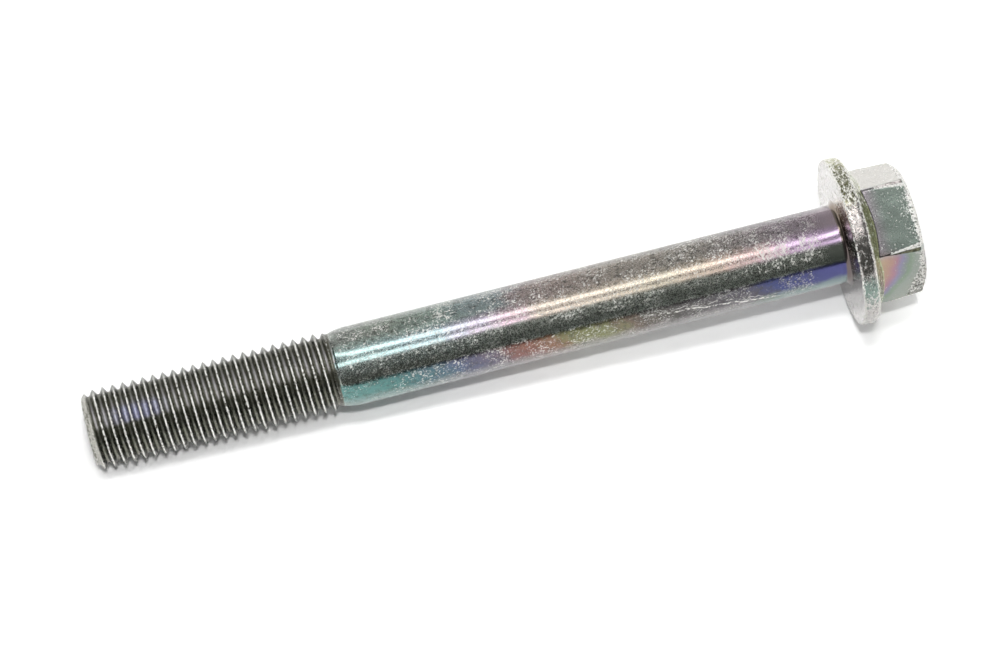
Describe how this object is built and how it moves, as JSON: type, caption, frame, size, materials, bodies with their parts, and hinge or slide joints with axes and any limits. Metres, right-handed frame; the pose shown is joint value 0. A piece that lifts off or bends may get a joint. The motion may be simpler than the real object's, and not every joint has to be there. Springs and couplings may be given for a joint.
{
  "type": "hex flange bolt",
  "caption": "Long hex flange bolt with a plain shank, a fine right-hand thread at its end and a rainbow plated steel finish.",
  "frame": {"origin": "centre of the flat top of the head, on which the bolt stands", "axes": "+Z along the bolt's axis, from the head to the thread tip; +X through a corner of the hexagon"},
  "size_m": [0.0252, 0.0252, 0.1242],
  "materials": {
    "plated_steel": "zinc plated with an iridescent passivate, scuffed on the shank and bare on worn edges"
  },
  "bodies": {
    "root": {"bolt": "plated_steel"}
  },
  "joints": []
}
